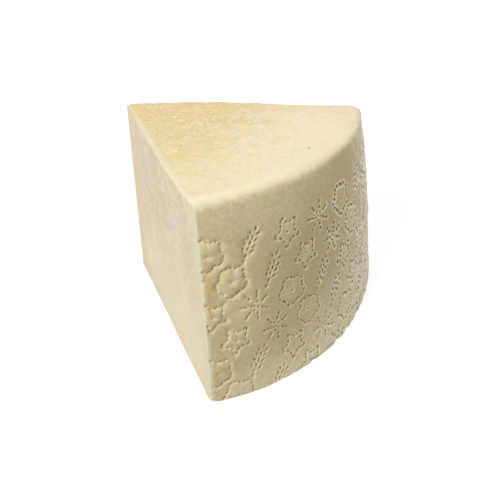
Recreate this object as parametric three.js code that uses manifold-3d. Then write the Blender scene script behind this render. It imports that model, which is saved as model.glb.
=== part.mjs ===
// A wedge of hard ewe's-milk cheese, cut from the upper half of a drum-shaped wheel.
// Millimetres, +Z up. The wedge stands on its flat cut underside, its tip points to +Y and its
// rind faces -Y. The origin is the centre of the base of the wedge's bounding box.
import * as THREE from 'three';
import { mergeVertices } from 'three/addons/utils/BufferGeometryUtils.js';
import Module from 'manifold-3d';

const wasm = await Module();
wasm.setup();

const { degToRad } = THREE.MathUtils;

// The wheel, as the half that is left above the level cut
const GIRTH_RADIUS = 165.5; // at the cut, where the wheel is widest
const TOP_RADIUS = 155; // where the side would meet the flat top
const HEIGHT = 124.5;
const BARREL_SWELL = 1.75; // how far the side stands proud of a straight slope, at mid-height
const SHOULDER_ROUND = 5.5; // round-over between the side and the top
const HEEL_ROUND = 1; // softened edge between the side and the cut underside

// The cuts
const WEDGE_ANGLE = degToRad(67.5);
const KNIFE_EDGE_ROUND = 1.2; // softened edge where a cut face meets the top or the underside

// The pressed marks: short pits, grouped as small ornaments in staggered rows
const MARK_LENGTH = 2.5;
const MARK_WIDTH = 1.4;
const MARK_DEPTH = 1.1;
const DOT_LENGTH = 1.7;
const ROW_PITCH = 18.5; // up the rind
const ORNAMENT_PITCH = 25.6; // round the rind
const ROW_COUNT = 6;
const LOWEST_ROW = 2; // height of the lowest row's centre, cut through by the underside
const ORNAMENT_LEAN = degToRad(-28);
const MARK_SHIFT = 0.35; // unevenness of the hand-tied mould: a mark's place
const MARK_TURN = degToRad(7); // and its direction
const CLEAR_OF_EDGE = 2.4; // marks nearer than this to an edge were cut or worn away

// The ornaments, sized from their middles
const STAR = { points: 5, outer: 9.8, inner: 5, edgeMarks: 2 };
const DAISY = { petals: 7, petalRadii: [5.4, 8.2], dots: 5, dotRadius: 2.6 };
const BLOSSOM = { petals: 5, petalAt: 5.2, petalRadius: 4.3, petalMarks: 4, sweep: degToRad(170) };
const EAR = { foot: -9.8, stemMarks: 5, tip: 9.6, pitch: 3.6, lowestGrain: -3.6, grainPairs: 4 };
const GRAIN = { reach: 2.7, spread: degToRad(38) };

// Faceting
const SECTOR_STEP = degToRad(2.5);
const SIDE_ROWS = 12;
const SHOULDER_ROWS = 6;
const HEEL_ROWS = 2;
const EDGE_ROWS = 2;
const MARK_SIDES = 4;
const OVERSHOOT = 20; // how far the cutting prism reaches past the rind
const KNIFE_CLEAR = 0.2; // how far the prism's ends stand off the top and the underside
const WELD = 1e-4; // vertices nearer than this are one

const RIND_COLOUR = new THREE.Color().setRGB(0.72, 0.65, 0.5, THREE.SRGBColorSpace);

// The side of the wheel runs from the heel up to the shoulder as one shallow barrel curve.
const MEAN_RADIUS = (GIRTH_RADIUS + TOP_RADIUS) / 2;
const sideFoot = new THREE.Vector2(GIRTH_RADIUS, HEEL_ROUND);
const sideHead = new THREE.Vector2(TOP_RADIUS, HEIGHT - SHOULDER_ROUND);
const sideMiddle = sideFoot.clone().add(sideHead).multiplyScalar(0.5);
sideMiddle.x += 2 * BARREL_SWELL; // a quadratic curve passes half-way to its control point
const side = new THREE.QuadraticBezierCurve(sideFoot, sideMiddle, sideHead);

// Half-section of the wheel, from the axis along the underside, up the side and back along the top.
function wheelProfile() {
  const heel = new THREE.QuadraticBezierCurve(
    new THREE.Vector2(GIRTH_RADIUS - HEEL_ROUND, 0),
    new THREE.Vector2(GIRTH_RADIUS, 0),
    sideFoot,
  );
  const lean = side.getTangent(1); // the shoulder leaves the side along its slope
  const corner = TOP_RADIUS + (lean.x / lean.y) * SHOULDER_ROUND;
  const shoulder = new THREE.QuadraticBezierCurve(
    sideHead,
    new THREE.Vector2(corner, HEIGHT),
    new THREE.Vector2(corner - SHOULDER_ROUND, HEIGHT),
  );
  return [
    new THREE.Vector2(0, 0),
    ...heel.getPoints(HEEL_ROWS),
    ...side.getPoints(SIDE_ROWS).slice(1),
    ...shoulder.getPoints(SHOULDER_ROWS).slice(1),
    new THREE.Vector2(0, HEIGHT),
  ];
}

// A closed three.js geometry as a solid that can be cut and joined.
function solidFrom(geometry) {
  const bare = geometry.clone();
  bare.deleteAttribute('normal');
  bare.deleteAttribute('uv');
  const merged = mergeVertices(bare, WELD);
  const index = merged.index.array;
  const triVerts = [];
  for (let i = 0; i < index.length; i += 3) {
    const [a, b, c] = index.slice(i, i + 3);
    if (a !== b && b !== c && c !== a) triVerts.push(a, b, c);
  }
  return new wasm.Manifold(new wasm.Mesh({
    numProp: 3,
    vertProperties: merged.attributes.position.array,
    triVerts: new Uint32Array(triVerts),
  }));
}

function geometryFrom(solid) {
  const mesh = solid.getMesh();
  const geometry = new THREE.BufferGeometry();
  geometry.setAttribute('position', new THREE.BufferAttribute(mesh.vertProperties, 3));
  geometry.setIndex(new THREE.BufferAttribute(mesh.triVerts, 1));
  return geometry;
}

// The half wheel, turned about the Z axis.
function halfWheel() {
  const turned = new THREE.LatheGeometry(wheelProfile(), Math.round((2 * Math.PI) / SECTOR_STEP));
  return solidFrom(turned.rotateX(Math.PI / 2));
}

// The space between the two knife cuts: a three-cornered prism, from the axis out towards -Y.
function betweenTheCuts() {
  const half = WEDGE_ANGLE / 2;
  const reach = (GIRTH_RADIUS + OVERSHOOT) / Math.cos(half);
  const plan = new THREE.Shape([
    new THREE.Vector2(0, 0),
    new THREE.Vector2(-reach * Math.sin(half), -reach * Math.cos(half)),
    new THREE.Vector2(reach * Math.sin(half), -reach * Math.cos(half)),
  ]);
  const prism = new THREE.ExtrudeGeometry(plan, {
    depth: HEIGHT + 2 * (KNIFE_CLEAR - KNIFE_EDGE_ROUND),
    bevelThickness: KNIFE_EDGE_ROUND,
    bevelSize: KNIFE_EDGE_ROUND,
    bevelOffset: -KNIFE_EDGE_ROUND,
    bevelSegments: EDGE_ROWS,
  });
  return solidFrom(prism.translate(0, 0, KNIFE_EDGE_ROUND - KNIFE_CLEAR));
}

// One mark of an ornament: where it is from the ornament's middle, and which way it lies.
function markAt(across, up, turn, length = MARK_LENGTH) {
  return { place: new THREE.Vector2(across, up), turn, length };
}

function star() {
  const corners = [];
  for (let i = 0; i < 2 * STAR.points; i += 1) {
    const turn = (Math.PI * i) / STAR.points;
    const radius = i % 2 ? STAR.inner : STAR.outer;
    corners.push(new THREE.Vector2(radius * Math.cos(turn), radius * Math.sin(turn)));
  }
  const marks = [markAt(0, 0, 0, DOT_LENGTH)];
  corners.forEach((from, i) => {
    const to = corners[(i + 1) % corners.length];
    for (let j = 0; j < STAR.edgeMarks; j += 1) {
      const { x, y } = from.clone().lerp(to, (j + 0.5) / STAR.edgeMarks);
      marks.push(markAt(x, y, to.clone().sub(from).angle()));
    }
  });
  return marks;
}

function daisy() {
  const marks = [markAt(0, 0, 0, DOT_LENGTH)];
  const rings = [[DAISY.dots, DAISY.dotRadius, DOT_LENGTH]];
  for (const radius of DAISY.petalRadii) rings.push([DAISY.petals, radius, MARK_LENGTH]);
  for (const [count, radius, length] of rings) {
    for (let i = 0; i < count; i += 1) {
      const turn = (2 * Math.PI * i) / count;
      marks.push(markAt(radius * Math.cos(turn), radius * Math.sin(turn), turn, length));
    }
  }
  return marks;
}

// Five round petals, each an arc of a circle that ends where it meets the next.
function blossom() {
  const marks = [markAt(0, 0, 0, DOT_LENGTH)];
  for (let i = 0; i < BLOSSOM.petals; i += 1) {
    const outward = (2 * Math.PI * i) / BLOSSOM.petals;
    for (let j = 0; j < BLOSSOM.petalMarks; j += 1) {
      const turn = outward + BLOSSOM.sweep * ((j + 0.5) / BLOSSOM.petalMarks - 0.5);
      const x = BLOSSOM.petalAt * Math.cos(outward) + BLOSSOM.petalRadius * Math.cos(turn);
      const y = BLOSSOM.petalAt * Math.sin(outward) + BLOSSOM.petalRadius * Math.sin(turn);
      marks.push(markAt(x, y, turn + Math.PI / 2));
    }
  }
  return marks;
}

function cornEar() {
  const upright = Math.PI / 2;
  const marks = [markAt(0, EAR.tip, upright)];
  for (let i = 0; i < EAR.stemMarks; i += 1) {
    marks.push(markAt(0, EAR.foot + i * EAR.pitch, upright));
  }
  for (let i = 0; i < EAR.grainPairs; i += 1) {
    const up = EAR.lowestGrain + i * EAR.pitch;
    for (const hand of [-1, 1]) {
      marks.push(markAt(hand * GRAIN.reach, up, upright - hand * GRAIN.spread));
    }
  }
  return marks;
}

// A repeatable number from -1 to 1 for each seed.
function uneven(seed) {
  const wave = 43758.5453 * Math.sin(12.9898 * seed);
  return 2 * (wave - Math.floor(wave)) - 1;
}

// Every mark on the unrolled rind: distance round from the middle, height, direction and length.
function rindMarks() {
  const ornaments = [star(), daisy(), blossom(), cornEar()];
  const halfArc = (MEAN_RADIUS * WEDGE_ANGLE) / 2;
  const sideways = Math.ceil(halfArc / ORNAMENT_PITCH) + 1; // ornaments each side of the middle
  const marks = [];
  let seed = 0;
  for (let row = 0; row < ROW_COUNT; row += 1) {
    for (let column = -sideways; column <= sideways; column += 1) {
      const ornament = ornaments[(column + sideways + row) % ornaments.length];
      const stagger = 0.5 * (row % 2);
      const middle = new THREE.Vector2(
        (column + stagger) * ORNAMENT_PITCH,
        LOWEST_ROW + row * ROW_PITCH,
      );
      for (const mark of ornament) {
        seed += 3;
        const shift = new THREE.Vector2(uneven(seed), uneven(seed + 1)).multiplyScalar(MARK_SHIFT);
        const place = mark.place.clone().rotateAround(new THREE.Vector2(), ORNAMENT_LEAN);
        place.add(middle).add(shift);
        const turn = mark.turn + ORNAMENT_LEAN + uneven(seed + 2) * MARK_TURN;
        marks.push({ round: place.x, height: place.y, turn, length: mark.length });
      }
    }
  }
  return marks.filter(({ round, height }) => Math.abs(round) < halfArc - CLEAR_OF_EDGE
    && height > sideFoot.y + CLEAR_OF_EDGE && height < sideHead.y - CLEAR_OF_EDGE);
}

// A mark's pit, as the pointed punch that would press it, set into the rind.
function punch({ round, height, turn, length }) {
  const share = (height - sideFoot.y) / (sideHead.y - sideFoot.y);
  const onSide = side.getPoint(share); // height runs evenly along this curve
  const slope = side.getTangent(share);
  const angle = round / MEAN_RADIUS - Math.PI / 2;
  const out = new THREE.Vector3(Math.cos(angle), Math.sin(angle), 0);
  const along = new THREE.Vector3(-out.y, out.x, 0);
  const upSlope = out.clone().multiplyScalar(slope.x).setZ(slope.y);
  const normal = along.clone().cross(upSlope);
  const seat = new THREE.Matrix4().makeBasis(along, upSlope, normal)
    .setPosition(out.clone().multiplyScalar(onSide.x).setZ(onSide.y));
  const tool = new THREE.SphereGeometry(1, MARK_SIDES, 2) // two rows make it a pyramid each way
    .rotateX(Math.PI / 2)
    .scale(length / 2, MARK_WIDTH / 2, MARK_DEPTH)
    .rotateZ(turn)
    .applyMatrix4(seat);
  return solidFrom(tool);
}

// Joins solids in pairs, so that each join stays small.
function joined(solids) {
  let left = solids;
  while (left.length > 1) {
    const next = [];
    for (let i = 0; i < left.length; i += 2) {
      next.push(i + 1 < left.length ? left[i].add(left[i + 1]) : left[i]);
    }
    left = next;
  }
  return left[0];
}

function cheeseWedge() {
  const wedge = halfWheel().intersect(betweenTheCuts()).subtract(joined(rindMarks().map(punch)));
  const geometry = geometryFrom(wedge).translate(0, GIRTH_RADIUS / 2, 0);
  geometry.computeVertexNormals();
  const rind = new THREE.MeshStandardMaterial({ color: RIND_COLOUR, roughness: 0.6, metalness: 0 });
  const mesh = new THREE.Mesh(geometry, rind);
  mesh.name = 'cheese_wedge';
  return mesh;
}

const cheese = new THREE.Group();
cheese.add(cheeseWedge());

export default cheese;
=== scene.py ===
import math

import bmesh
import bpy
from mathutils import Euler, Matrix, Vector, noise
from mathutils.kdtree import KDTree


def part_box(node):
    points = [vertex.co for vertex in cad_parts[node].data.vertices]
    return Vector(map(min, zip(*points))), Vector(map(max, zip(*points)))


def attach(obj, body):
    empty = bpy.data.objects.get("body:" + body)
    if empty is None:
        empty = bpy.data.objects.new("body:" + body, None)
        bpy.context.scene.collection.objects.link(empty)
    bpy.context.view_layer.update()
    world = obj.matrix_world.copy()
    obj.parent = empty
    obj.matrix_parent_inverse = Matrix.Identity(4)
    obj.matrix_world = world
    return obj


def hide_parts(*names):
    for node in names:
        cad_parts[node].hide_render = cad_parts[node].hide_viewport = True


# A wedge of hard ewe's-milk cheese: flat knife cuts, a flat top, a round shoulder, a pressed rind
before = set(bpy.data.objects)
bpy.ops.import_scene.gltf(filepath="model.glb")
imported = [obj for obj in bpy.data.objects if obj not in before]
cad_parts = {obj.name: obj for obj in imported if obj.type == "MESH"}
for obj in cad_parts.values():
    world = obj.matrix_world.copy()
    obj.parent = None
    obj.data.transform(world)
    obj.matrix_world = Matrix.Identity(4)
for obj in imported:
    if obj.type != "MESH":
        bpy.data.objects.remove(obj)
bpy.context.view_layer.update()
wedgeLow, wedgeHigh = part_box("cheese_wedge")
scene = bpy.context.scene
mm = 0.001
touch = 0.01 * mm  # points nearer than this count as touching

tall = wedgeHigh.z
girth = wedgeHigh.y - wedgeLow.y  # radius of the wheel at the cut underside
halfAngle = math.asin(wedgeHigh.x / girth)
tipAt = Vector((0, wedgeHigh.y, 0))
print("frame loaded: radius %.1f mm, height %.1f mm, wedge %.1f degrees"
      % (girth / mm, tall / mm, math.degrees(2 * halfAngle)))


# Smooth step from 0 at start to 1 at end, whichever of the two is greater
def rise(value, start, end):
    share = min(max((value - start) / (end - start), 0), 1)
    return share * share * (3 - 2 * share)


# Takes numbers or shader values
def between(start, end, share):
    return start + (end - start) * share


# Level direction in the wedge's plan, from its angle to the middle of the rind
def planWay(angle):
    return Vector((math.sin(angle), -math.cos(angle), 0))


# Repeatable number from 0 to 1
def chance(seed):
    wave = 43758.5453 * math.sin(12.9898 * seed)
    return wave - math.floor(wave)


# Repeatable number from -1 to 1
def uneven(seed):
    return 2 * chance(seed) - 1


# The left cut is -1 and the right one 1: the way from the tip along each, and the way that it faces
cutWay = {hand: planWay(hand * halfAngle) for hand in (-1, 1)}
cutFacing = {hand: planWay(hand * (halfAngle + math.pi / 2)) for hand in (-1, 1)}

# Marks pressed by the mould, as places on the unrolled rind

marks = {
    "length": 2.5 * mm,         # from rim to rim
    "dotLength": 1.7 * mm,
    "rowPitch": 18.5 * mm,
    "pitch": 25.6 * mm,         # round the rind
    "rows": 6,
    "lowestRow": 2 * mm,        # its ornaments are cut through by the underside
    "lowest": -1 * mm,          # marks below this were cut away
    "highest": tall - 10.5 * mm,
    "lean": math.radians(-28),
    "shift": 0.35 * mm,         # how far a mark strays from its place
    "turn": math.radians(7),    # and from its direction
    "meanRadius": 160.25 * mm,  # where distance round the rind is measured
}
halfArc = marks["meanRadius"] * halfAngle


# A mark of an ornament, from the ornament's middle: (across, up, direction, length)
def polarMark(radius, turn, way, length):
    return radius * math.cos(turn), radius * math.sin(turn), way, length


def starMarks():
    points, outer, inner, edgeMarks = 5, 9.8 * mm, 5 * mm, 2
    spots = [(0, 0, 0, marks["dotLength"])]
    corners = []
    for i in range(2 * points):
        turn = math.pi * i / points
        corners.append(Vector((math.cos(turn), math.sin(turn))) * (inner if i % 2 else outer))
    for i, corner in enumerate(corners):
        along = corners[(i + 1) % len(corners)] - corner
        for j in range(edgeMarks):
            spot = corner + along * (j + 0.5) / edgeMarks
            spots.append((spot.x, spot.y, math.atan2(along.y, along.x), marks["length"]))
    return spots


def daisyMarks():
    petals, petalRadii, dots, dotRadius = 7, (5.4 * mm, 8.2 * mm), 5, 2.6 * mm
    spots = [(0, 0, 0, marks["dotLength"])]
    rings = [(dots, dotRadius, marks["dotLength"])]
    rings += [(petals, radius, marks["length"]) for radius in petalRadii]
    for count, radius, length in rings:
        for i in range(count):
            turn = 2 * math.pi * i / count
            spots.append(polarMark(radius, turn, turn, length))
    return spots


# Five round petals, each an arc of a circle that ends where it meets the next
def blossomMarks():
    petals, petalAt, petalRadius, petalMarks, sweep = 5, 5.2 * mm, 4.3 * mm, 4, math.radians(170)
    spots = [(0, 0, 0, marks["dotLength"])]
    for i in range(petals):
        outward = 2 * math.pi * i / petals
        middle = Vector((math.cos(outward), math.sin(outward))) * petalAt
        for j in range(petalMarks):
            turn = outward + sweep * ((j + 0.5) / petalMarks - 0.5)
            across, up, way, length = polarMark(petalRadius, turn, turn + math.pi / 2, marks["length"])
            spots.append((middle.x + across, middle.y + up, way, length))
    return spots


# A stem and pairs of grains
def earMarks():
    foot, tip, pitch, stemMarks = -9.8 * mm, 9.6 * mm, 3.6 * mm, 5
    grains, lowestGrain, reach, spread = 4, -3.6 * mm, 2.7 * mm, math.radians(38)
    upright, length = math.pi / 2, marks["length"]
    spots = [(0, tip, upright, length)]
    spots += [(0, foot + i * pitch, upright, length) for i in range(stemMarks)]
    for i in range(grains):
        for hand in (-1, 1):
            spots.append((hand * reach, lowestGrain + i * pitch, upright - hand * spread, length))
    return spots


# Every mark as (round the rind, height, direction, length), in staggered rows of four ornaments,
# and the middles of the closed ornaments
def layMarks():
    ornaments = [starMarks(), daisyMarks(), blossomMarks(), earMarks()]
    closed = (0, 2)  # star and blossom
    sideways = math.ceil(halfArc / marks["pitch"]) + 1
    turnBy = Matrix.Rotation(marks["lean"], 2)
    placed, pillows, seed = [], [], 0
    for row in range(marks["rows"]):
        for column in range(-sideways, sideways + 1):
            kind = (column + sideways + row) % len(ornaments)
            middle = Vector(((column + 0.5 * (row % 2)) * marks["pitch"],
                             marks["lowestRow"] + row * marks["rowPitch"]))
            if kind in closed:
                pillows.append(middle)
            for across, up, turn, length in ornaments[kind]:
                seed += 3  # a mark takes three numbers
                stray = Vector((uneven(seed), uneven(seed + 1))) * marks["shift"]
                spot = turnBy @ Vector((across, up)) + middle + stray
                turn += marks["lean"] + uneven(seed + 2) * marks["turn"]
                if abs(spot.x) < halfArc + length and marks["lowest"] < spot.y < marks["highest"]:
                    placed.append((spot.x, spot.y, turn, length))
    return placed, pillows


def treeOf(places):
    tree = KDTree(len(places))
    for i, (around, height, *_) in enumerate(places):
        tree.insert((around, height, 0), i)
    tree.balance()
    return tree


press = {
    "halfWidth": 0.7 * mm,            # of a pit
    "wideOver": (-25 * mm, 15 * mm),  # round the rind, from here to there, the pits grow wider
    "wide": 1.8,
    "depth": 1.1 * mm,
    "wall": 0.9,                      # share of the half-width that a pit's wall takes
    "faintest": 0.6,                  # share of the depth that a worn mark keeps
    "lip": 0.26 * mm,                 # paste pushed up round a pit
    "lipAt": 1.6,                     # half-widths from the pit's middle line to the top of its lip
    "lipSpread": 0.55,
    "lipGone": 0.3,                   # how deep a pit has to be to lose its neighbour's lip
    "grooveReach": 1.5 * mm,          # of the soft groove that the pits lie in
    "grooveRun": 0.3 * mm,            # how far it runs on past a pit's ends
    "grooveDepth": 0.25 * mm,
    "shallowest": 0.45,               # share of its depth that the faintest groove keeps
    "pillow": (9 * mm, 0.2 * mm),     # reach and height of the swelling inside a closed ornament
    "farthest": 7 * mm,               # no mark is felt beyond this
    "softReach": (32 * mm, 58 * mm),  # the paste was soft this near to the left cut, low down and high up
    "softRise": (35 * mm, 85 * mm),   # heights between which low down turns to high up
    "softest": 0.3,                   # share of that reach where it was softest
    "softLow": 0.4,                   # how soft it was low down
    "softFoot": (-6 * mm, 14 * mm),   # heights at the foot between which it turned from firm to soft
    "softWide": 1.3,                  # where it was soft the pits are wide and shallow
    "softPit": 0.8,
    "softLip": 0.6,                   # their lips low
    "softGroove": 6.5,                # the grooves deep and wide
    "softGrooveReach": 1.9,
    "softPillow": 4,                  # the ornaments pillowy
    "softLump": (160, 0.9 * mm, 23),  # and the paste near a mark lumpy
    "softLumpNear": (5 * mm, 1.5 * mm),
}


# Marks near a place on the unrolled rind, each with how far the place is past its end and beside it
def marksNear(tree, placed, around, height):
    for _, i, _ in tree.find_range((around, height, 0), press["farthest"]):
        spotAround, spotHeight, turn, length = placed[i]
        ahead = (around - spotAround) * math.cos(turn) + (height - spotHeight) * math.sin(turn)
        aside = (height - spotHeight) * math.cos(turn) - (around - spotAround) * math.sin(turn)
        yield i, abs(ahead) - length / 2, aside


# Distance from a mark's middle line, which stops short of its ends
def offLine(past, aside, short):
    return math.hypot(max(past + short, 0), aside)


# How soft the paste was at a place on the unrolled rind, from 0 to 1
def softness(around, height):
    upper = rise(height, *press["softRise"])
    reach = between(*press["softReach"], upper)
    soft = rise(around + halfArc, reach, press["softest"] * reach) * between(press["softLow"], 1, upper)
    return soft * rise(height, *press["softFoot"])


# How far the pit, its lip, the soft groove and the pillow go at a place on the unrolled rind,
# and how lumpy it is there
def pressed(tree, placed, pillowTree, around, height):
    soft = softness(around, height)
    firmWidth = between(1, press["wide"], rise(around, *press["wideOver"]))
    width = press["halfWidth"] * between(firmWidth, press["softWide"], soft)
    reach = press["grooveReach"] * between(1, press["softGrooveReach"], soft)
    pit = lip = groove = near = 0
    for i, past, aside in marksNear(tree, placed, around, height):
        offPit = offLine(past, aside, width)
        offGroove = offLine(past, aside, -press["grooveRun"])
        firm = between(press["faintest"], 1, chance(5 * i + 2))
        worn = between(press["shallowest"], 1, chance(7 * i + 4))
        depth = firm * between(1, press["softPit"], soft)
        pit = max(pit, depth * rise(1 - offPit / width, 0, press["wall"]))
        lip = max(lip, firm * math.exp(-((offPit / width - press["lipAt"]) / press["lipSpread"]) ** 2))
        groove = max(groove, between(1, worn, soft) * rise(offGroove, reach, 0))
        near = max(near, rise(offGroove, *press["softLumpNear"]))
    lip *= rise(pit, press["lipGone"], 0) * between(1, press["softLip"], soft)
    groove *= between(1, press["softGroove"], soft)
    offPillow = pillowTree.find((around, height, 0))[2] / press["pillow"][0]
    pillow = max(1 - offPillow ** 2, 0) ** 2 * between(1, press["softPillow"], soft)
    return pit, lip, groove, pillow, near * soft


# The wedge itself

wedge = {
    "lean": 11.7 * mm,              # how far the side leans in, from the underside to the top
    "swell": 2.1 * mm,              # barrel bulge of the side
    "shoulder": 5.5 * mm,           # round-over between the side and the top
    "shoulderSteps": 10,
    "heel": 1 * mm,                 # round-over between the side and the underside
    "heelSteps": 3,
    "cell": 1.2 * mm,               # size of the rind's mesh cells
    "fine": 5 * mm,                 # strip of narrow cells by the rind, and half of it by the tip
    "fineCell": 0.8 * mm,
    "tipCuts": 3,                   # of the strip by the tip
    "coarseCell": 3.2 * mm,
    "markDepth": 1 * mm,            # cells no further inside the rind than this
    "markCells": (2 * mm, 1 * mm),  # and this near to a mark are halved, then halved again
    "sharp": math.radians(30),      # edges sharper than this are softened
    "rindEdge": (2, 5),             # rings of cells and passes that soften the upright edges of the rind
    "knifeEdge": (2, 6),            # and the other edges of the cuts
    "sole": 0.05 * mm,              # faces below this are cut paste
}
rimRadius = girth - wedge["lean"]
pasteSlot = 1  # material of the cuts, after the rind's


# The half-section of the wheel in the plane of one cut: underside, heel, side, shoulder and top
def drawSection(bm):
    corners = [(0, 0), (girth, 0), (rimRadius, tall), (0, tall)]
    points = [bm.verts.new((radius, 0, height)) for radius, height in corners]
    for pair in zip(points, points[1:]):
        bm.edges.new(pair)
    for point, size, steps in ((points[1], wedge["heel"], wedge["heelSteps"]),
                               (points[2], wedge["shoulder"], wedge["shoulderSteps"])):
        bmesh.ops.bevel(bm, geom=[point], offset=size, segments=steps, profile=0.5,
                        affect="VERTICES", material=-1)
    longEdges = [e for e in bm.edges if e.calc_length() > tall / 2]
    underside, side, top = sorted(longEdges, key=lambda e: e.verts[0].co.z + e.verts[1].co.z)
    for flat in (underside, top):
        divideFlat(bm, flat)
    bmesh.ops.subdivide_edges(bm, edges=[side], cuts=round(side.calc_length() / wedge["cell"]))
    for v in bm.verts:
        if v.co.x > girth / 2:
            v.co.x += sideRadius(v.co.z) - girth + wedge["lean"] * v.co.z / tall


# Radius of the plain side at a height, for a number or a shader value
def sideRadius(height):
    up = height * (1 / tall)
    return girth - wedge["lean"] * up + 4 * wedge["swell"] * up * (1 - up)


# Narrow cells at both ends of a flat edge of the section, wide ones between
def divideFlat(bm, flat):
    inner = min(flat.verts, key=lambda v: v.co.x)
    outer = max(flat.verts, key=lambda v: v.co.x)
    tipStrip, _ = bmesh.utils.edge_split(flat, inner, 0.5 * wedge["fine"] / flat.calc_length())
    rindStrip, _ = bmesh.utils.edge_split(flat, outer, wedge["fine"] / flat.calc_length())
    fineCuts = round(wedge["fine"] / wedge["fineCell"])
    coarseCuts = round(girth / wedge["coarseCell"])
    for edge, cuts in ((tipStrip, wedge["tipCuts"]), (rindStrip, fineCuts), (flat, coarseCuts)):
        bmesh.ops.subdivide_edges(bm, edges=[edge], cuts=cuts)


def buildWedge(bm):
    drawSection(bm)
    columns = round(2 * halfAngle * girth / wedge["cell"])
    bmesh.ops.spin(bm, geom=bm.verts[:] + bm.edges[:], cent=(0, 0, 0), axis=(0, 0, 1),
                   angle=2 * halfAngle, steps=columns)
    bmesh.ops.remove_doubles(bm, verts=bm.verts, dist=1e-6)
    bmesh.ops.rotate(bm, verts=bm.verts, cent=(0, 0, 0),
                     matrix=Matrix.Rotation(-math.pi / 2 - halfAngle, 3, "Z"))
    closeCuts(bm)
    bmesh.ops.recalc_face_normals(bm, faces=bm.faces)


# Fills both knife cuts with a grid that runs from the tip to the rind
def closeCuts(bm):
    foot, head = sorted((v for v in bm.verts if v.co.xy.length < touch), key=lambda v: v.co.z)
    tipEdge = bm.edges.new((foot, head))
    leftRind = {v for e in bm.edges if e.is_boundary and not isRail(e) for v in e.verts if v.co.x < 0}
    heights = sorted(v.co.z for v in leftRind)[1:-1]
    made = bmesh.ops.subdivide_edges(bm, edges=[tipEdge], cuts=len(heights))
    tipVerts = [v for v in made["geom_inner"] if isinstance(v, bmesh.types.BMVert)]
    for v, height in zip(sorted(tipVerts, key=lambda v: v.co.z), heights):
        v.co.z = height
    for hand in cutWay:
        rails = [e for e in bm.edges if e.is_boundary and isRail(e)]
        rails = [e for e in rails if sum(v.co.x for v in e.verts) * hand > 0]
        bmesh.ops.grid_fill(bm, edges=rails, mat_nr=pasteSlot, use_smooth=True)


# The flat edges of a cut, along the top or the underside
def isRail(edge):
    heights = [v.co.z for v in edge.verts]
    return max(heights) < touch or min(heights) > tall - touch


# Softens the edges that the knife left: rings of cells round each edge, smoothed in passes
def softenEdges(bm):
    sharp = [e for e in bm.edges if e.calc_face_angle(0) > wedge["sharp"]]
    upright = [e for e in sharp if not isRail(e) and min(v.co.xy.length for v in e.verts) > girth / 2]
    knife = [e for e in sharp if e not in upright]
    for edges, (rings, passes) in ((upright, wedge["rindEdge"]), (knife, wedge["knifeEdge"])):
        band = {v for e in edges for v in e.verts}
        for _ in range(rings):
            band |= {e.other_vert(v) for v in band for e in v.link_edges}
        for _ in range(passes):
            bmesh.ops.smooth_vert(bm, verts=list(band), factor=0.5,
                                  use_axis_x=True, use_axis_y=True, use_axis_z=True)


# Distance round the rind from its middle, and how far a point lies inside the rind
def unroll(co):
    return (math.atan2(co.y, co.x) + math.pi / 2) * marks["meanRadius"], sideRadius(co.z) - co.xy.length


# Halves the cells near the marks, so that each pit has a round rim
def refineMarks(bm, tree, placed):
    for reach in wedge["markCells"]:
        near = set()
        for v in bm.verts:
            around, inside = unroll(v.co)
            beside = marksNear(tree, placed, around, v.co.z) if inside < wedge["markDepth"] else ()
            if any(offLine(past, aside, press["halfWidth"]) < reach for _, past, aside in beside):
                near.add(v)
        edges = [e for e in bm.edges if e.verts[0] in near and e.verts[1] in near]
        bmesh.ops.subdivide_edges(bm, edges=edges, cuts=1, use_grid_fill=True)


# A noise is given as waves to the metre, height, and where in the noise it starts
relief = {
    "skin": 5 * mm,                     # how deep a surface's unevenness reaches into the faces beside it
    "rindWave": (26, 0.45 * mm, 0),
    "rindLump": (62, 0.36 * mm, 1),
    "rindGrain": (330, 0.05 * mm, 2),
    "limbLump": (170, 0.5 * mm, 29),    # lumps on the rind's far right
    "limbFrom": (20 * mm, 50 * mm),
    "rindRidge": (36, 0.6 * mm, 31),    # long low ridges that climb to the right
    "ridgeRise": math.radians(30),
    "ridgeLength": 3,                   # of a ridge's width
    "ridgeBelow": (10 * mm, 35 * mm),   # how far under the top they start
    "footNick": (130, 2.2 * mm, 37),    # crumbled spots on the foot of the rind's right-hand half
    "footNickFrom": (-60 * mm, -20 * mm),
    "footNickReach": 5 * mm,
    "flare": 1.7 * mm,                  # how far the foot of the rind turns out
    "flareHeight": 24 * mm,             # and how high up that starts
    "flareFrom": (-90 * mm, -58 * mm),
    "flareTo": (0, 35 * mm),            # to the right of here it turns out less
    "flareLoss": 0.7,
    "topWave": (24, 0.35 * mm, 11),
    "topLump": (95, 0.1 * mm, 13),
    "crown": 1 * mm,                    # the top's swelling along the right-hand cut, near the tip
    "crownLength": 0.62,                # of the wheel's radius
    "crownReach": 0.3 * girth,
    "sag": 1.5 * mm,                    # and its fall beyond, towards the rind
    "sagOver": (0.5, 0.75),             # of the wheel's radius
    "midwayFrom": (0.1, 0.55),          # where along the left cut, of the wheel's radius, its bulge grows
    "midwayTo": (0.95, 0.8),            # and where it ends
    "cutBulge": 1.6 * mm,               # how far the left cut stands out along the top there
    "cutBulgeFrom": 0.4 * tall,
    "cutDip": 1.7 * mm,                 # and how far the top falls towards it
    "cutDipReach": 0.2 * girth,
    "cutWave": (30, 0.2 * mm, 17),
    "nick": (130, 0.6 * mm, 19),        # crumbled spots along the edges between the cuts and the top
    "nickReach": 3 * mm,
    "footCorner": (7 * mm, 2 * mm),     # reach and height of the wear on the foot of the left cut's rind edge
    "tipCorner": (5.5 * mm, 1.1 * mm),  # and of the wear on the top of the tip
}


def roughen(co, wave):
    scale, height, start = wave
    return noise.noise(co * scale + Vector((start, start, start))) * height


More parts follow.
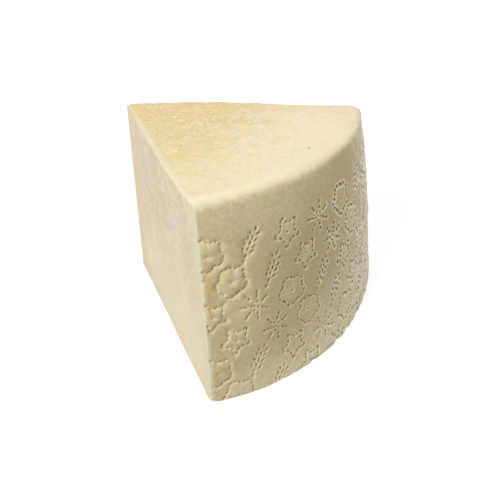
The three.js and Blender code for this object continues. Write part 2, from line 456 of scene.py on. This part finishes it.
# Low ridges on the unrolled rind, drawn out along their climb
def ridge(around, height):
    along = Vector((math.cos(relief["ridgeRise"]), math.sin(relief["ridgeRise"])))
    spot = Vector((around, height))
    drawnOut = Vector((spot.dot(along) / relief["ridgeLength"], spot.dot(along.orthogonal()), 0))
    return roughen(drawnOut, relief["rindRidge"])


# How far the rind's own unevenness stands out at a point, with the flare and the crumbling of its foot
def rindHeight(co, around):
    wave = sum(roughen(co, relief[name]) for name in ("rindWave", "rindLump", "rindGrain"))
    wave += roughen(co, relief["limbLump"]) * rise(around, *relief["limbFrom"])
    wave += ridge(around, co.z) * rise(tall - co.z, *relief["ridgeBelow"])
    atFoot = rise(co.z, relief["footNickReach"], 0) * rise(around, *relief["footNickFrom"])
    wave -= max(roughen(co, relief["footNick"]), 0) * atFoot
    turnsOut = rise(around, *relief["flareFrom"]) - relief["flareLoss"] * rise(around, *relief["flareTo"])
    return wave + relief["flare"] * rise(co.z, relief["flareHeight"], 0) * turnsOut


def markHeight(co, pit, lip, groove, pillow, lumpy):
    height = lip * press["lip"] - pit * press["depth"] - groove * press["grooveDepth"]
    return height + pillow * press["pillow"][1] + lumpy * roughen(co, press["softLump"])


# How much of the left cut's bulge a point has, from its place between the tip and the rind
def midway(co):
    fromTip = co.dot(cutWay[-1]) / girth
    return rise(fromTip, *relief["midwayFrom"]) * rise(fromTip, *relief["midwayTo"])


# How far the top rises at a point
def topHeight(co, skin):
    along = co.dot(cutWay[1]) / girth
    swelling = math.sin(math.pi * min(max(along / relief["crownLength"], 0), 1)) * relief["crown"]
    swelling -= rise(along, *relief["sagOver"]) * relief["sag"]
    swelling *= math.exp(-(co.dot(cutFacing[1]) / relief["crownReach"]) ** 2)
    dip = midway(co) * relief["cutDip"] * math.exp(-(co.dot(cutFacing[-1]) / relief["cutDipReach"]) ** 2)
    wave = roughen(co, relief["topWave"]) + roughen(co, relief["topLump"])
    return swelling + wave * (1 - skin) - dip


# How a cut's unevenness, its crumbled upper edge and the left one's bulge move a point
def cutShift(co, hand):
    facing = cutFacing[hand]
    nearCut = rise(-co.dot(facing), relief["skin"], 0)
    if not nearCut or co.xy.length <= relief["skin"]:
        return Vector()
    out = roughen(co, relief["cutWave"])
    if hand < 0:
        out += midway(co) * rise(co.z, relief["cutBulgeFrom"], tall) * relief["cutBulge"]
    atEdge = rise(math.hypot(co.dot(facing), tall - co.z), relief["nickReach"], 0)
    crumbled = max(roughen(co, relief["nick"]), 0) * atEdge
    return facing * out * nearCut - (facing + Vector((0, 0, 1))) * crumbled


# How far the worn corners move a point up
def cornerWear(co):
    footReach, footWear = relief["footCorner"]
    tipReach, tipWear = relief["tipCorner"]
    lift = footWear * rise((co - cutWay[-1] * girth).length, footReach, 0)
    return lift - tipWear * rise((co - Vector((0, 0, tall))).length, tipReach, 0)


# Presses the marks and gives every face its own slight unevenness
def shapeSurfaces(bm, tree, placed, pillowTree):
    layers = [bm.verts.layers.float.new(name) for name in ("pit", "lip", "groove", "pillow")]
    for v in bm.verts:
        co = v.co.copy()
        around, inside = unroll(co)
        skin = rise(inside, relief["skin"], 0)
        lid = rise(tall - co.z, relief["skin"], 0)
        if skin > 0:
            *depths, lumpy = pressed(tree, placed, pillowTree, around, co.z)
            for layer, depth in zip(layers, depths):
                v[layer] = depth * skin
            out = rindHeight(co, around) + markHeight(co, *depths, lumpy)
            v.co += Vector((co.x, co.y, 0)).normalized() * skin * out
        if lid > 0:
            v.co.z += lid * topHeight(co, skin)
        for hand in cutFacing:
            v.co += cutShift(co, hand)
        if co.z < touch:
            v.co.z = 0
        v.co.z += cornerWear(co)


def makeCheese():
    placed, pillows = layMarks()
    tree = treeOf(placed)
    bm = bmesh.new()
    buildWedge(bm)
    softenEdges(bm)
    refineMarks(bm, tree, placed)
    shapeSurfaces(bm, tree, placed, treeOf(pillows))
    for f in bm.faces:
        f.smooth = True
        if max(v.co.z for v in f.verts) < wedge["sole"]:
            f.material_index = pasteSlot
    bmesh.ops.translate(bm, verts=bm.verts, vec=tipAt)
    bmesh.ops.recalc_face_normals(bm, faces=bm.faces)
    triangles = sum(len(f.verts) - 2 for f in bm.faces)
    openEdges = sum(not e.is_manifold for e in bm.edges)
    print("cheese: %d marks, %d triangles, %d open edges" % (len(placed), triangles, openEdges))
    mesh = bpy.data.meshes.new("cheese")
    bm.to_mesh(mesh)
    bm.free()
    cheese = bpy.data.objects.new("cheese", mesh)
    scene.collection.objects.link(cheese)
    return cheese


# Materials: a socket that takes part in shader sums, and a node tree that makes any node

class Signal:
    def __init__(self, finish, socket):
        self.finish, self.socket = finish, socket

    def maths(self, operation, first, second):
        return self.finish.node("ShaderNodeMath", {"operation": operation}, {0: first, 1: second})

    def __add__(self, other):
        return self.maths("ADD", self, other)

    def __sub__(self, other):
        return self.maths("SUBTRACT", self, other)

    def __rsub__(self, other):
        return self.maths("SUBTRACT", other, self)

    def __mul__(self, other):
        return self.maths("MULTIPLY", self, other)

    __radd__, __rmul__ = __add__, __mul__


class Finish:
    def __init__(self, tree):
        self.tree = tree
        tree.nodes.clear()

    # A node by its type, its settings and the values or links of its sockets
    def node(self, kind, settings={}, sockets={}, output=0):
        made = self.tree.nodes.new(kind)
        for name, value in settings.items():
            setattr(made, name, value)
        for name, value in sockets.items():
            if isinstance(value, Signal):
                self.tree.links.new(value.socket, made.inputs[name])
            else:
                made.inputs[name].default_value = value
        return Signal(self, made.outputs[output]) if made.outputs else None

    # Place on the piece, with a pattern's stretch and its turn about the upright axis
    def place(self, stretch=(1, 1, 1), turn=0):
        spot = self.node("ShaderNodeTexCoord", output="Object")
        return self.node("ShaderNodeMapping", {"vector_type": "TEXTURE"},
                         {"Vector": spot, "Rotation": (0, 0, turn), "Scale": stretch})

    def mottle(self, size, detail, roughness=0.55, distortion=0, stretch=(1, 1, 1), turn=0):
        return self.node("ShaderNodeTexNoise", {}, {
            "Vector": self.place(stretch, turn), "Scale": 1 / size, "Detail": detail,
            "Roughness": roughness, "Distortion": distortion})

    # Smooth step of a shader value between two of its levels, from one share to another
    def fade(self, value, start, end, first=0, last=1):
        return self.node("ShaderNodeMapRange", {"interpolation_type": "SMOOTHSTEP"}, {
            "Value": value, "From Min": start, "From Max": end, "To Min": first, "To Max": last})

    def blend(self, share, first, second):
        return self.node("ShaderNodeMix", {"data_type": "RGBA"}, {0: share, 6: first, 7: second}, output=2)

    def grown(self, name):
        return self.node("ShaderNodeAttribute", {"attribute_name": name}, output="Fac")

    def vector(self, operation, first, second=(0, 0, 0), output="Vector"):
        return self.node("ShaderNodeVectorMath", {"operation": operation}, {0: first, 1: second}, output)

    # Distance from a point, in one direction or all round
    def reach(self, spot, start, direction=None):
        away = self.vector("SUBTRACT", spot, start)
        if direction is None:
            return self.vector("LENGTH", away, output="Value")
        return self.vector("DOT_PRODUCT", away, direction, output="Value")

    def noises(self, settings):
        return {name: self.mottle(*setting) for name, setting in settings.items()}

    # A share that is narrowed by masks: each is a field as it is, or its fade between two levels
    def narrow(self, fields, share, *masks):
        for name, *levels in masks:
            field = self.fade(fields[name], *levels) if levels else fields[name]
            share = field * share
        return share

    # Coats over a colour, in turn: each has the name of its tone, its share and its masks
    def paint(self, colour, coats, tones, fields):
        for tone, *where in coats:
            colour = self.blend(self.narrow(fields, *where), colour, tones[tone])
        return colour

    def finish(self, colour, roughness, height, bumpDistance, fixed):
        bump = self.node("ShaderNodeBump", {}, {"Height": height, "Distance": bumpDistance})
        shader = self.node("ShaderNodeBsdfPrincipled", {},
                           {"Base Color": colour, "Roughness": roughness, "Normal": bump, **fixed})
        self.node("ShaderNodeOutputMaterial", {}, {"Surface": shader})


def newMaterial(name):
    material = bpy.data.materials.new(name)
    material.use_nodes = True
    return Finish(material.node_tree), material


# Screen colour, as read off a picture, in the linear values that a shader takes
def tint(red, green, blue):
    steps = [c / 255 for c in (red, green, blue)]
    return (*[c / 12.92 if c <= 0.04045 else ((c + 0.055) / 1.055) ** 2.4 for c in steps], 1)


# How far a noise makes a line stray to both sides
def ragged(field, reach):
    return (field - 0.5) * reach


# Noises are given as size, detail, roughness, distortion, stretch and turn.
# Coats are given as tone, share and masks. A mask is a field with the level where it starts to show
# and the level where it shows in full, and the two shares there where they aren't 0 and 1.
# Across is measured from the left cut, up from the underside.

streakTurn = math.radians(-56.25)
wispTurn = math.radians(-38)
light = tint(241, 224, 180)  # pale tone painted as light on the side's upper and high left, and as a highlight on the top's shoulder
limb = (("across", 106 * mm, 128 * mm), ("up", 116 * mm, 95 * mm))  # the side's far right, below its top
atRim = ("outward", rimRadius - 15 * mm, rimRadius - 6 * mm)

sideFinish = {
    "tones": {
        "dark": tint(212, 194, 148),
        "tan": tint(226, 208, 162),
        "grey": tint(214, 202, 164),
        "light": light,
        # darker tan painted as shade, in the middle and under the shoulder on the right
        "dusky": tint(198, 180, 134),
        # paler tone painted as light bounced up from below
        "ash": tint(224, 211, 173),
        "limbHigh": tint(200, 184, 154),  # far right, high up: greyer, a painted sheen where the side turns away
        # pale tone painted as light bounced up from below, and the rind's paler foot
        "foot": tint(250, 238, 203),
        "sage": tint(232, 226, 186),      # worn middles of ornaments
        "grain": tint(186, 166, 118),     # fine dark mottling
        # paler tone painted in the grooves as light on their walls
        "groove": tint(240, 224, 178),
        "fleck": tint(246, 240, 228),     # pale flecks on the far right: painted highlights of its relief under grazing light
        # pale tone painted as a highlight on the lips round the pits
        "lip": tint(252, 245, 216),
        "softPit": tint(230, 212, 166),   # pits beside the left cut
        "pit": tint(184, 163, 118),
        "deepPit": tint(134, 112, 74),    # pits on the right: painted shade where the key light doesn't reach, with some dirt
        "limbPit": tint(116, 98, 68),     # and on the far right, darker still: painted shade
        "stain": tint(220, 178, 112),     # buttery stains beside the left cut
        "edge": tint(224, 216, 182),      # thin pale line along the edge with the left cut: painted highlight of the rounded edge, partly the rind's own cut section
    },
    "noises": {
        "clouds": (38 * mm, 3),
        "patches": (12 * mm, 4),
        "mottling": (2.6 * mm, 4, 0.65),
        "flecks": (3 * mm, 4, 0.6, 0, (1, 1, 1.8)),
        "stains": (9 * mm, 3, 0.55, 0, (1, 1, 2.2)),
    },
    # pit tones darken towards the right: painted shade in the hollows, with some dirt
    "pitCoats": [
        ("pit", 1, ("across", 12 * mm, 42 * mm)),
        ("deepPit", 1, ("across", 60 * mm, 95 * mm)),
    ],
    "coats": [
        ("tan", 1, ("clouds", 0.35, 0.65)),
        ("grey", 0.6, ("patches", 0.42, 0.66)),
        ("light", 0.18, ("across", 48 * mm, 12 * mm), ("up", 30 * mm, 75 * mm)),  # upper left: painted light
        ("dusky", 0.55, ("across", 15 * mm, 45 * mm), ("across", 118 * mm, 92 * mm),  # middle: painted shade where the side turns away from the light
         ("up", 14 * mm, 42 * mm), ("up", 112 * mm, 82 * mm)),
        ("light", 0.55, ("across", 78 * mm, 50 * mm), ("up", tall - 26 * mm, tall - 7 * mm)),  # high left, under the shoulder: painted light
        ("ash", 0.5, ("across", 72 * mm, 108 * mm), ("up", 92 * mm, 42 * mm)),  # lower right: painted light bounced up from below
        ("dusky", 0.95, ("across", 72 * mm, 108 * mm), ("up", 82 * mm, 104 * mm)),  # upper right, under the shoulder: painted shade
        # far right, high up: painted sheen
        ("limbHigh", 0.8, ("across", 112 * mm, 130 * mm), ("up", 88 * mm, 108 * mm)),
        ("foot", 0.55, ("across", 38 * mm, 80 * mm), ("up", 62 * mm, 22 * mm)),  # lower middle: painted light bounced up from below
        # pale foot: partly the rind's paler foot, partly painted light bounced up from below
        ("foot", 1, ("raggedUp", 22 * mm, 1 * mm), ("across", 15 * mm, 45 * mm, 0.4, 0.75)),
        ("sage", 0.7, ("pillow", 0.1, 1), ("patches", 0.42, 0.66)),
        ("grain", 0.32, ("mottling", 0.36, 0.68)),
        # paler in the grooves: painted light that brightens their lit walls and lifts their shade
        ("groove", 0.4, ("groove", 0.2, 3)),
        # dark and pale flecks on the far right: painted shade and painted highlights of its relief under
        # grazing light
        ("grain", 0.7, ("flecks", 0.52, 0.42), *limb),
        ("fleck", 0.6, ("flecks", 0.48, 0.6), *limb),
        ("fleck", 0.7, ("groove", 0.1, 0.7), *limb),
        # painted highlight on the lips round the pits
        ("lip", 1, ("lip", 0.2, 0.9), ("across", 38 * mm, 95 * mm, 0.25, 0.8)),
        # pits darkened: painted shade in the hollows, with some dirt
        ("anyPit", 1, ("pit", 0.04, 0.65)),
        ("limbPit", 1, ("pit", 0.03, 0.38), *limb),
        ("stain", 0.5, ("across", 11 * mm, 1 * mm), ("up", 60 * mm, 95 * mm, 1, 0.5), ("stains", 0.45, 0.62)),
        # painted highlight along the edge with the left cut
        ("edge", 0.8, ("fromEdge", 2 * mm, 0.6 * mm)),
    ],
    "footRagged": 8 * mm,
    "edgeWider": (1.1 * mm, ("up", 105 * mm, 45 * mm)),  # how much wider the pale line is at the foot
}


# Tan side: clouded, stained beside the left cut, with painted shade in the middle, under the shoulder on the
# right and in the pressed marks, painted light on the upper left, the lower right and the foot, and painted
# highlights on the marks' lips, the far right and the edge with the left cut
def rindSide(skin, fields):
    fields = {**fields, **skin.noises(sideFinish["noises"])}
    fields.update({name: skin.grown(name) for name in ("pit", "lip", "groove", "pillow")})
    fields["raggedUp"] = fields["up"] + ragged(fields["fine"], sideFinish["footRagged"])
    fields["fromEdge"] = fields["across"] - skin.narrow(fields, *sideFinish["edgeWider"])
    tones = dict(sideFinish["tones"])
    tones["anyPit"] = skin.paint(tones["softPit"], sideFinish["pitCoats"], tones, fields)
    return skin.paint(tones["dark"], sideFinish["coats"], tones, fields)


topFinish = {
    "tones": {
        "cream": tint(247, 232, 189),         # the top's front and the shoulder
        "straw": tint(236, 213, 156),         # the top towards the tip
        "honey": tint(231, 200, 138),         # patches
        "blush": tint(247, 228, 206),         # pinkish and lemon blotches
        "lemon": tint(243, 231, 186),
        "peach": tint(240, 213, 166),         # the same nearer the tip
        "butter": tint(237, 219, 152),
        "wheat": tint(235, 212, 162),         # streaks in the cream
        "creamFurrow": tint(226, 203, 156),   # dark streaks in the cream and in the straw
        "furrow": tint(217, 186, 122),
        "creamFeather": tint(254, 246, 224),  # pale wisps in the cream and in the straw
        "feather": tint(251, 240, 201),
        "light": light,
        "rim": tint(249, 239, 210),           # painted highlight along the shoulder and the top's left edge
        "speck": tint(150, 128, 92),
    },
    "turning": {  # tones that change towards the tip, from one to another
        "pinkish": ("blush", "peach"),
        "yellowish": ("lemon", "butter"),
        "furrows": ("creamFurrow", "furrow"),
        "feathers": ("creamFeather", "feather"),
    },
    "noises": {
        "clouds": (15 * mm, 4, 0.55, 0, (2.5, 1, 1), streakTurn),
        "blotches": (8 * mm, 4, 0.6),
        "crumbs": (3 * mm, 4, 0.65, 0, (1.8, 1, 1), wispTurn),
        "wisps": (2 * mm, 4, 0.65, 1.2, (2.6, 1, 1), wispTurn),
        "grit": (1.8 * mm, 3, 0.6),
        "stirred": (11 * mm, 2),
    },
    "coats": [
        ("straw", 1, ("tip",)),
        ("honey", 1, ("honeyed",)),
        ("pinkish", 0.7, ("blotches", 0.48, 0.64)),
        ("yellowish", 0.7, ("blotches", 0.5, 0.34)),
        ("wheat", 1, ("crumbs", 0.5, 0.68), ("wheaten",)),
        ("furrows", 1, ("streaks", 0.48, 0.34), ("lively",)),
        ("feathers", 0.8, ("wisps", 0.52, 0.64), ("lively",)),
        ("feathers", 0.7, ("grit", 0.52, 0.68), ("lively",)),
        ("furrows", 0.6, ("grit", 0.48, 0.32), ("lively",)),
        # painted shade along the back edge, by the right cut
        ("furrow", 0.6, ("behind", 1.6 * mm, 0.4 * mm)),
        ("blush", 0.4, ("across", 25 * mm, 95 * mm), ("front",)),
        # painted highlight along the shoulder's left part, broken up by noise
        ("rim", 1, atRim, ("across", 95 * mm, 25 * mm), ("worn",)),
        # painted highlight along the shoulder's right part
        ("light", 0.2, atRim, ("across", 25 * mm, 95 * mm)),
        # painted highlight along the top's edge with the left cut
        ("rim", 0.45, ("raggedAcross", 3 * mm, 0.8 * mm)),
        ("speck", 0.7, ("fromSpeck", 1.5 * mm, 0.7 * mm)),
    ],
    "tipReach": (130 * mm, 62 * mm),  # where the cream turns to straw
    "tipRagged": 110 * mm,
    "honeyLevels": (0.46, 0.6),
    "honeyStreaks": 0.4,              # share of the streaks in the honey patches' noise
    "honeyShares": (0.2, 0.6),        # in the cream and in the straw
    "honeyBack": (0.45, ("raggedBehind", 20 * mm, 4 * mm), ("outward", 135 * mm, 100 * mm)),
    "backRagged": 30 * mm,            # of the honey band by the right cut
    "wheatShares": (0.5, 0.2),
    "stirredLevels": (0.36, 0.62, 0.2, 1),  # how lively the streaks are from place to place
    "livelyShares": (0.6, 1),         # and in the cream and in the straw
    # how patchy the painted highlight along the shoulder is
    "highlightShares": (0.4, 1),
    "acrossRagged": 4 * mm,
    "speckAt": (6.4 * mm, -56.1 * mm, tall),
    "speckRagged": 0.5 * mm,
}


# Cream top that turns to straw towards the tip, with fine streaks, buttery patches, a painted highlight along
# the shoulder and the left edge, and painted shade along the back edge
def rindTop(skin, fields):
    look = topFinish
    fields = {**fields, **skin.noises(look["noises"])}
    clouds, fine = fields["clouds"], fields["fine"]
    fields["outward"] = skin.reach(fields["spot"], tipAt + Vector((0, 0, tall)))
    border = ragged(clouds, look["tipRagged"]) + ragged(fields["blotches"], look["tipRagged"])
    tip = skin.fade(fields["outward"] + border, *look["tipReach"])
    fields["tip"], fields["front"] = tip, 1 - tip
    fields["behind"] = skin.reach(fields["spot"], tipAt, -cutFacing[1])
    fields["raggedBehind"] = fields["behind"] + ragged(clouds, look["backRagged"])
    honey = skin.fade(between(clouds, fields["streaks"], look["honeyStreaks"]), *look["honeyLevels"])
    honey = honey * between(*look["honeyShares"], tip)
    fields["honeyed"] = honey + skin.narrow(fields, *look["honeyBack"])
    fields["wheaten"] = between(*look["wheatShares"], tip)
    stirred = skin.fade(fields["stirred"], *look["stirredLevels"])
    fields["lively"] = stirred * between(*look["livelyShares"], tip)
    # patchiness of the painted highlight along the shoulder
    fields["worn"] = between(*look["highlightShares"], fine)
    fields["raggedAcross"] = fields["across"] + ragged(fine, look["acrossRagged"])
    fields["fromSpeck"] = skin.reach(fields["spot"], look["speckAt"]) + fine * look["speckRagged"]
    tones = dict(look["tones"])
    for name, (inCream, inStraw) in look["turning"].items():
        tones[name] = skin.blend(tip, tones[inCream], tones[inStraw])
    return skin.paint(tones["cream"], look["coats"], tones, fields)


rindFinish = {
    "noises": {
        "fine": (5 * mm, 5),
        "grain": (1.6 * mm, 6, 0.6),
        "streaks": (1.6 * mm, 4, 0.65, 0.6, (3.4, 1, 1), streakTurn),
    },
    "topFrom": tall - 0.95 * wedge["shoulder"],  # height where the side's colour starts to turn to the top's
    "topRagged": 3 * mm,
    # how much sharper the turn is on the right, and how much higher it starts on the left
    "crisp": (0.2 * wedge["shoulder"], ("across", 40 * mm, 75 * mm), ("across", 95 * mm, 120 * mm, 1, 0.6)),
    "lift": (0.27 * wedge["shoulder"], ("across", 8 * mm, 20 * mm), ("across", 60 * mm, 42 * mm)),
    "roughness": (0.5, 0.7),
    "bump": 0.3 * mm,
    "fixed": {"Subsurface Weight": 0.12, "Subsurface Radius": (1, 0.7, 0.4),
              "Subsurface Scale": 0.8 * mm, "Specular IOR Level": 0.35},
}


def makeRind():
    skin, material = newMaterial("rind")
    fields = skin.noises(rindFinish["noises"])
    fine, streaks = fields["fine"], fields["streaks"]
    spot = skin.place()
    fields["spot"] = spot
    fields["up"] = skin.reach(spot, (0, 0, 0), (0, 0, 1))
    fields["across"] = skin.reach(spot, tipAt, -cutFacing[-1])
    crisp = skin.narrow(fields, *rindFinish["crisp"])
    lift = skin.narrow(fields, *rindFinish["lift"])
    height = fields["up"] + ragged(fine, rindFinish["topRagged"])
    top = skin.fade(height, rindFinish["topFrom"] + crisp + lift, tall - crisp)
    colour = skin.blend(top, rindSide(skin, fields), rindTop(skin, fields))
    roughness = between(*rindFinish["roughness"], fine)
    bumps = fields["grain"] + fine + streaks * top
    skin.finish(colour, roughness, bumps, rindFinish["bump"], rindFinish["fixed"])
    return material


pasteFinish = {
    "tones": {
        "shade": tint(230, 212, 181),
        "ivory": tint(247, 233, 205),
        "low": tint(252, 241, 209),       # towards the foot: partly paler paste, partly painted light bounced up from below
        "warm": tint(245, 221, 182),      # by the foot and the tip
        "rindLine": tint(234, 226, 194),  # paler paste just under the rind, with a painted highlight of the rounded edge
    },
    "noises": {
        "streaks": (1.8 * mm, 4, 0.65, 1, (1, 1, 4)),
        "broad": (30 * mm, 3),
        "crumbs": (3.2 * mm, 4, 0.65, 0.8),
        "grain": (1.2 * mm, 6, 0.6),
    },
    "flakes": (("broad", 0.25), ("streaks", 0.36), ("crumbs", 0.39)),  # what their noise is mixed from
    "coats": [
        ("ivory", 1, ("flakes", 0.43, 0.57)),
        # paler towards the foot: partly the paste's own tone, partly painted light bounced up from below
        ("low", 0.55, ("raggedUp", 95 * mm, 10 * mm)),
        ("warm", 1, ("tipAndFoot",)),
        # paler strip under the rind: partly paler paste, partly a painted highlight of the edge
        ("rindLine", 1, ("under", 13 * mm, 2 * mm)),
    ],
    "upRagged": 40 * mm,
    "warmTip": (0.85, ("outward", 34 * mm, 4 * mm)),
    "warmFoot": (0.35, ("raggedFoot", 16 * mm, 2 * mm)),
    "footRagged": 30 * mm,
    "underRagged": 10 * mm,
    "roughness": (0.55, 0.7),
    "grainHeight": 0.6,                   # of the streaks' height
    "bump": 0.25 * mm,
    "fixed": {"Subsurface Weight": 0.2, "Subsurface Radius": (1, 0.7, 0.4),
              "Subsurface Scale": 2 * mm, "Specular IOR Level": 0.35},
}


# Ivory paste: flaky, warmer by the tip and the foot, paler towards the foot, partly as painted light bounced
# up from below, and paler just under the rind, partly as a painted highlight of the edge
def makePaste():
    paste, material = newMaterial("paste")
    look = pasteFinish
    fields = paste.noises(look["noises"])
    broad, streaks = fields["broad"], fields["streaks"]
    spot = paste.place()
    up = paste.reach(spot, (0, 0, 0), (0, 0, 1))
    fields["outward"] = paste.reach(paste.vector("MULTIPLY", spot, (1, 1, 0)), tipAt)
    fields["flakes"] = sum(fields[name] * share for name, share in look["flakes"])
    fields["raggedUp"] = up + ragged(broad, look["upRagged"])
    fields["raggedFoot"] = up + ragged(broad, look["footRagged"])
    fields["tipAndFoot"] = paste.narrow(fields, *look["warmTip"]) + paste.narrow(fields, *look["warmFoot"])
    fields["under"] = sideRadius(up) - fields["outward"] + ragged(broad, look["underRagged"])
    colour = paste.paint(look["tones"]["shade"], look["coats"], look["tones"], fields)
    bumps = fields["grain"] * look["grainHeight"] + streaks
    paste.finish(colour, between(*look["roughness"], streaks), bumps, look["bump"], look["fixed"])
    return material


cheese = makeCheese()
for material in (makeRind(), makePaste()):
    cheese.data.materials.append(material)
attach(cheese, "root")
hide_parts("cheese_wedge")
print("materials: rind and paste")

# Camera, worked out from the photograph's outline

view = {
    "place": Vector((-352.0, -278.0, 312.3)) * mm,
    "heading": math.radians(36.58),
    "dip": math.radians(31.37),
    "roll": math.radians(-1.23),
    "lens": 56.78,
    "sensor": 36,
    "clip": (0.01, 20),
}


def setCamera():
    lens = bpy.data.cameras.new("camera")
    lens.lens, lens.sensor_width = view["lens"], view["sensor"]
    lens.clip_start, lens.clip_end = view["clip"]
    camera = bpy.data.objects.new("camera", lens)
    aim = Euler((math.pi / 2 - view["dip"], 0, view["heading"] - math.pi / 2)).to_matrix()
    turned = aim @ Matrix.Rotation(view["roll"], 3, "Z")
    camera.matrix_world = Matrix.Translation(view["place"]) @ turned.to_4x4()
    scene.collection.objects.link(camera)
    scene.camera = camera


studio = {
    "sky": 0.636,                        # soft light from all round
    "skyLean": (-0.12, -0.495, -0.189),  # its change towards the camera's left, its side and upwards
    "lamps": {                           # azimuth from the camera's side, elevation, distance, size, power
        "key": (-32, 40, 2.4, 0.8, 40),
        "rim": (135, 8, 1.6, 0.8, 9),
    },
    "floorSize": 20,
    "floorShade": 0.25,
    "floorGlow": 0.82,
    "reflectorSize": 0.3,                # white sheet under the wedge that throws light up at its foot
    "reflectorShade": 0.55,
    "reflectorDrop": 1 * mm,
}


# Level direction at an angle from the camera's own side, anticlockwise seen from above
def cameraWay(angle):
    way = view["heading"] + math.pi + angle
    return Vector((math.cos(way), math.sin(way), 0))


def hangLamp(name, around, up, far, size, power):
    lamp = bpy.data.lights.new(name, "AREA")
    lamp.shape, lamp.size, lamp.energy = "DISK", size, power
    lit = bpy.data.objects.new(name, lamp)
    rises = math.radians(up)
    back = cameraWay(math.radians(around)) * math.cos(rises) + Vector((0, 0, math.sin(rises)))
    lit.location = back * far + Vector((0, 0, tall / 2))
    lit.rotation_euler = back.to_track_quat("Z", "Y").to_euler()
    scene.collection.objects.link(lit)


def setStudio():
    for name, setting in studio["lamps"].items():
        hangLamp(name, *setting)
    scene.world = bpy.data.worlds.new("studio")
    scene.world.use_nodes = True
    sky = Finish(scene.world.node_tree)
    left, front, above = studio["skyLean"]
    axis = cameraWay(-math.pi / 2) * left + cameraWay(0) * front + Vector((0, 0, above))
    way = sky.node("ShaderNodeTexCoord", output="Generated")
    bright = studio["sky"] + sky.vector("DOT_PRODUCT", way, axis, output="Value")
    strength = bright.maths("MAXIMUM", bright, 0)
    glow = sky.node("ShaderNodeBackground", {}, {"Color": (1, 1, 1, 1), "Strength": strength})
    sky.node("ShaderNodeOutputWorld", {}, {"Surface": glow})
    scene.view_settings.view_transform = "Standard"


# Level sheet that isn't part of the object
def laySheet(name, size, height, shade, glow):
    bm = bmesh.new()
    bmesh.ops.create_grid(bm, x_segments=1, y_segments=1, size=size,
                          matrix=Matrix.Translation((0, 0, height)))
    mesh = bpy.data.meshes.new(name)
    bm.to_mesh(mesh)
    bm.free()
    sheet = bpy.data.objects.new(name, mesh)
    scene.collection.objects.link(sheet)
    white, material = newMaterial(name)
    shader = white.node("ShaderNodeBsdfPrincipled", {}, {
        "Base Color": (shade, shade, shade, 1), "Roughness": 0.9, "Specular IOR Level": 0,
        "Emission Color": (1, 1, 1, 1), "Emission Strength": glow})
    white.node("ShaderNodeOutputMaterial", {}, {"Surface": shader})
    mesh.materials.append(material)
    return sheet


# The floor is seen but throws no light up; the reflector throws light up but isn't seen
def setFloor():
    floor = laySheet("floor", studio["floorSize"], 0, studio["floorShade"], studio["floorGlow"])
    floor.visible_diffuse = floor.visible_glossy = floor.visible_shadow = False
    reflector = laySheet("reflector", studio["reflectorSize"], -studio["reflectorDrop"],
                         studio["reflectorShade"], 0)
    reflector.visible_camera = False


setCamera()
setStudio()
setFloor()

print("scene ready: camera, %d lamps, floor" % len(studio["lamps"]))
